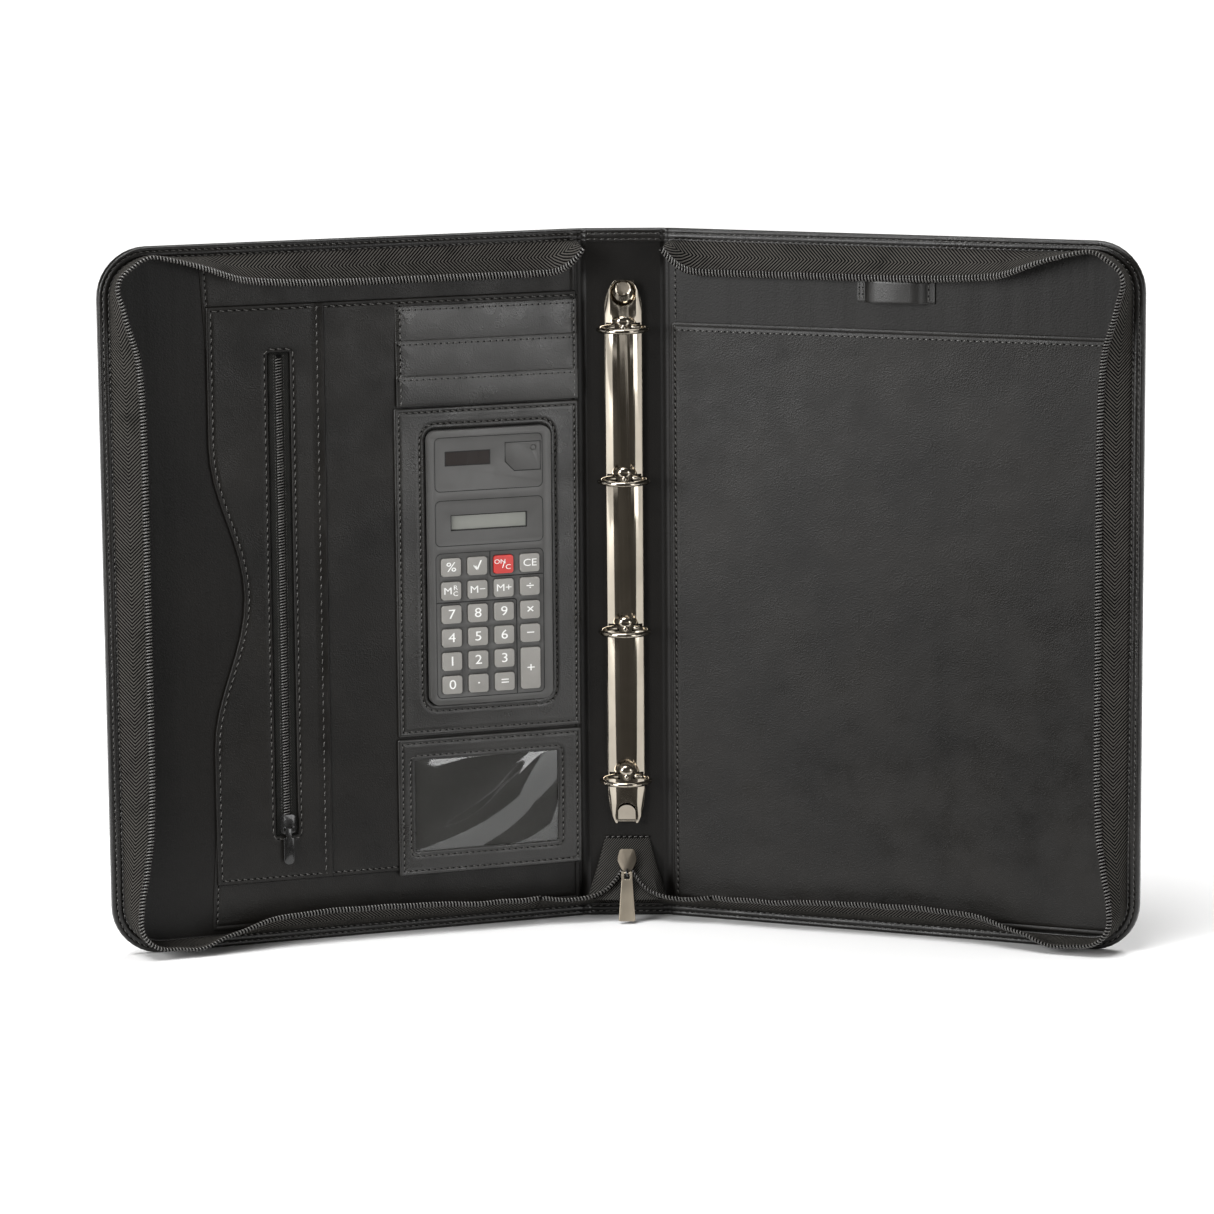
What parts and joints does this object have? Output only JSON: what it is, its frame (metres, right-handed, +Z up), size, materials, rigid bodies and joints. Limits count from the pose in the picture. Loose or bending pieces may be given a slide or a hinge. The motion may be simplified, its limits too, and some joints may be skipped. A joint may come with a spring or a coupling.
{
  "type": "zip-round ring binder portfolio case",
  "caption": "Zip-round A4 portfolio case with a ring binder, pockets, card slots, a calculator and a clear ID window, standing open like a book.",
  "frame": {"origin": "middle of the spine's foot, on the surface that the case stands on", "axes": "+X to the right cover, +Y out of the back of the spine, away from the reader, +Z up the spine"},
  "size_m": [0.5328, 0.1017, 0.368],
  "materials": {
    "leatherette": "black grained leatherette",
    "board": "grey stiffening board",
    "lining": "black smooth lining",
    "pocket_leatherette": "black fine-grained leatherette pockets",
    "zip_tape": "black woven zip tape with a dark coil",
    "black_zip": "black zip tape and coil",
    "black_metal": "black enamelled metal",
    "nickel": "satin antique nickel",
    "nickel_plate": "bright nickel plate",
    "clear_film": "clear soft film",
    "elastic": "black elastic",
    "calculator_case": "dark grey moulded plastic",
    "solar_cell": "dark brown solar cell",
    "lcd": "grey-green liquid crystal panel",
    "circuit_board": "green circuit board",
    "keypad_rubber": "grey rubber keypad mat",
    "key": "warm grey keys with pale legends",
    "key_red": "red key with a pale legend"
  },
  "bodies": {
    "spine": {"spine_skin": "leatherette", "spine_board": "board", "spine_lining": "lining", "zip_gusset": "zip_tape", "ring_plate": "nickel_plate", "plate_rivets": "nickel_plate"},
    "left_cover": {"left_cover_skin": "leatherette", "left_board": "board", "left_lining": "lining", "left_zip_tape": "zip_tape", "document_pocket": "pocket_leatherette", "gusset_pocket": "pocket_leatherette", "pocket_zip_tape": "black_zip", "card_slots": "pocket_leatherette", "calculator_frame": "pocket_leatherette", "id_window_frame": "pocket_leatherette", "id_window_film": "clear_film", "calculator_back": "calculator_case", "calculator_front": "calculator_case", "solar_cell": "solar_cell", "lcd_panel": "lcd", "circuit_board": "circuit_board", "keypad_mat": "keypad_rubber", "battery_cover": "calculator_case"},
    "right_cover": {"right_cover_skin": "leatherette", "right_board": "board", "right_lining": "lining", "right_zip_tape": "zip_tape", "pad_pocket": "pocket_leatherette", "pen_loop": "elastic"},
    "left_ring_blade": {"left_ring_blade": "nickel_plate"},
    "right_ring_blade": {"right_ring_blade": "nickel_plate"},
    "ring_lever": {"ring_lever": "nickel_plate"},
    "zip_slider": {"zip_slider": "nickel"},
    "zip_pull": {"zip_pull": "nickel"},
    "pocket_zip_slider": {"pocket_zip_slider": "black_metal"},
    "pocket_zip_pull": {"pocket_zip_pull": "black_metal"},
    "key_0": {"key_0": "key"},
    "key_1": {"key_1": "key"},
    "key_2": {"key_2": "key"},
    "key_3": {"key_3": "key"},
    "key_4": {"key_4": "key"},
    "key_5": {"key_5": "key"},
    "key_6": {"key_6": "key"},
    "key_7": {"key_7": "key"},
    "key_8": {"key_8": "key"},
    "key_9": {"key_9": "key"},
    "key_decimal": {"key_decimal": "key"},
    "key_equals": {"key_equals": "key"},
    "key_plus": {"key_plus": "key"},
    "key_minus": {"key_minus": "key"},
    "key_times": {"key_times": "key"},
    "key_divide": {"key_divide": "key"},
    "key_percent": {"key_percent": "key"},
    "key_root": {"key_root": "key"},
    "key_on_clear": {"key_on_clear": "key_red"},
    "key_clear_entry": {"key_clear_entry": "key"},
    "key_memory_recall": {"key_memory_recall": "key"},
    "key_memory_minus": {"key_memory_minus": "key"},
    "key_memory_plus": {"key_memory_plus": "key"}
  },
  "joints": [
    {"name": "left_cover_hinge", "type": "hinge", "parent": "spine", "child": "left_cover", "pos_m": [-0.022, -0.0034, 0], "axis": [0, 0, -1], "range_deg": [-71, 20.5]},
    {"name": "right_cover_hinge", "type": "hinge", "parent": "spine", "child": "right_cover", "pos_m": [0.022, -0.0034, 0], "axis": [0, 0, 1], "range_deg": [-71, 20.5]},
    {"name": "left_blade_pivot", "type": "hinge", "parent": "spine", "child": "left_ring_blade", "pos_m": [-0.0077, -0.0031, 0.2], "axis": [0, 0, -1], "range_deg": [0, 18], "stiffness_Nm_per_rad": 0.5, "springref_deg": -5.73},
    {"name": "right_blade_pivot", "type": "hinge", "parent": "spine", "child": "right_ring_blade", "pos_m": [0.0077, -0.0031, 0.2], "axis": [0, 0, 1], "range_deg": [0, 18]},
    {"name": "ring_lever_pivot", "type": "hinge", "parent": "spine", "child": "ring_lever", "pos_m": [0, -0.0041, 0.0526], "axis": [1, 0, 0], "range_deg": [0, 45]},
    {"name": "zip_slide", "type": "slide", "parent": "spine", "child": "zip_slider", "axis": [0, 0.5, 0.866], "range_m": [0, 0.004]},
    {"name": "zip_pull_swing", "type": "hinge", "parent": "zip_slider", "child": "zip_pull", "pos_m": [0, -0.01836, 0.02658], "axis": [-1, 0, 0], "range_deg": [0, 140]},
    {"name": "pocket_zip_slide", "type": "slide", "parent": "left_cover", "child": "pocket_zip_slider", "axis": [0, 0, 1], "range_m": [0, 0.24]},
    {"name": "pocket_pull_swing", "type": "hinge", "parent": "pocket_zip_slider", "child": "pocket_zip_pull", "pos_m": [-0.17545, -0.06413, 0.061], "axis": [-0.9367, -0.3502, 0], "range_deg": [0, 85]},
    {"name": "key_0_press", "type": "slide", "parent": "left_cover", "child": "key_0", "axis": [-0.3502, 0.9367, 0], "range_m": [0, 0.0007], "stiffness_N_per_m": 250, "springref_m": -0.0006},
    {"name": "key_1_press", "type": "slide", "parent": "left_cover", "child": "key_1", "axis": [-0.3502, 0.9367, 0], "range_m": [0, 0.0007], "stiffness_N_per_m": 250, "springref_m": -0.0006},
    {"name": "key_2_press", "type": "slide", "parent": "left_cover", "child": "key_2", "axis": [-0.3502, 0.9367, 0], "range_m": [0, 0.0007], "stiffness_N_per_m": 250, "springref_m": -0.0006},
    {"name": "key_3_press", "type": "slide", "parent": "left_cover", "child": "key_3", "axis": [-0.3502, 0.9367, 0], "range_m": [0, 0.0007], "stiffness_N_per_m": 250, "springref_m": -0.0006},
    {"name": "key_4_press", "type": "slide", "parent": "left_cover", "child": "key_4", "axis": [-0.3502, 0.9367, 0], "range_m": [0, 0.0007], "stiffness_N_per_m": 250, "springref_m": -0.0006},
    {"name": "key_5_press", "type": "slide", "parent": "left_cover", "child": "key_5", "axis": [-0.3502, 0.9367, 0], "range_m": [0, 0.0007], "stiffness_N_per_m": 250, "springref_m": -0.0006},
    {"name": "key_6_press", "type": "slide", "parent": "left_cover", "child": "key_6", "axis": [-0.3502, 0.9367, 0], "range_m": [0, 0.0007], "stiffness_N_per_m": 250, "springref_m": -0.0006},
    {"name": "key_7_press", "type": "slide", "parent": "left_cover", "child": "key_7", "axis": [-0.3502, 0.9367, 0], "range_m": [0, 0.0007], "stiffness_N_per_m": 250, "springref_m": -0.0006},
    {"name": "key_8_press", "type": "slide", "parent": "left_cover", "child": "key_8", "axis": [-0.3502, 0.9367, 0], "range_m": [0, 0.0007], "stiffness_N_per_m": 250, "springref_m": -0.0006},
    {"name": "key_9_press", "type": "slide", "parent": "left_cover", "child": "key_9", "axis": [-0.3502, 0.9367, 0], "range_m": [0, 0.0007], "stiffness_N_per_m": 250, "springref_m": -0.0006},
    {"name": "key_decimal_press", "type": "slide", "parent": "left_cover", "child": "key_decimal", "axis": [-0.3502, 0.9367, 0], "range_m": [0, 0.0007], "stiffness_N_per_m": 250, "springref_m": -0.0006},
    {"name": "key_equals_press", "type": "slide", "parent": "left_cover", "child": "key_equals", "axis": [-0.3502, 0.9367, 0], "range_m": [0, 0.0007], "stiffness_N_per_m": 250, "springref_m": -0.0006},
    {"name": "key_plus_press", "type": "slide", "parent": "left_cover", "child": "key_plus", "axis": [-0.3502, 0.9367, 0], "range_m": [0, 0.0007], "stiffness_N_per_m": 250, "springref_m": -0.0006},
    {"name": "key_minus_press", "type": "slide", "parent": "left_cover", "child": "key_minus", "axis": [-0.3502, 0.9367, 0], "range_m": [0, 0.0007], "stiffness_N_per_m": 250, "springref_m": -0.0006},
    {"name": "key_times_press", "type": "slide", "parent": "left_cover", "child": "key_times", "axis": [-0.3502, 0.9367, 0], "range_m": [0, 0.0007], "stiffness_N_per_m": 250, "springref_m": -0.0006},
    {"name": "key_divide_press", "type": "slide", "parent": "left_cover", "child": "key_divide", "axis": [-0.3502, 0.9367, 0], "range_m": [0, 0.0007], "stiffness_N_per_m": 250, "springref_m": -0.0006},
    {"name": "key_percent_press", "type": "slide", "parent": "left_cover", "child": "key_percent", "axis": [-0.3502, 0.9367, 0], "range_m": [0, 0.0007], "stiffness_N_per_m": 250, "springref_m": -0.0006},
    {"name": "key_root_press", "type": "slide", "parent": "left_cover", "child": "key_root", "axis": [-0.3502, 0.9367, 0], "range_m": [0, 0.0007], "stiffness_N_per_m": 250, "springref_m": -0.0006},
    {"name": "key_on_clear_press", "type": "slide", "parent": "left_cover", "child": "key_on_clear", "axis": [-0.3502, 0.9367, 0], "range_m": [0, 0.0007], "stiffness_N_per_m": 250, "springref_m": -0.0006},
    {"name": "key_clear_entry_press", "type": "slide", "parent": "left_cover", "child": "key_clear_entry", "axis": [-0.3502, 0.9367, 0], "range_m": [0, 0.0007], "stiffness_N_per_m": 250, "springref_m": -0.0006},
    {"name": "key_memory_recall_press", "type": "slide", "parent": "left_cover", "child": "key_memory_recall", "axis": [-0.3502, 0.9367, 0], "range_m": [0, 0.0007], "stiffness_N_per_m": 250, "springref_m": -0.0006},
    {"name": "key_memory_minus_press", "type": "slide", "parent": "left_cover", "child": "key_memory_minus", "axis": [-0.3502, 0.9367, 0], "range_m": [0, 0.0007], "stiffness_N_per_m": 250, "springref_m": -0.0006},
    {"name": "key_memory_plus_press", "type": "slide", "parent": "left_cover", "child": "key_memory_plus", "axis": [-0.3502, 0.9367, 0], "range_m": [0, 0.0007], "stiffness_N_per_m": 250, "springref_m": -0.0006}
  ],
  "couplings": [
    {"joint": "right_blade_pivot", "follows": "left_blade_pivot", "ratio": 1},
    {"joint": "ring_lever_pivot", "follows": "left_blade_pivot", "ratio": 2.5}
  ]
}
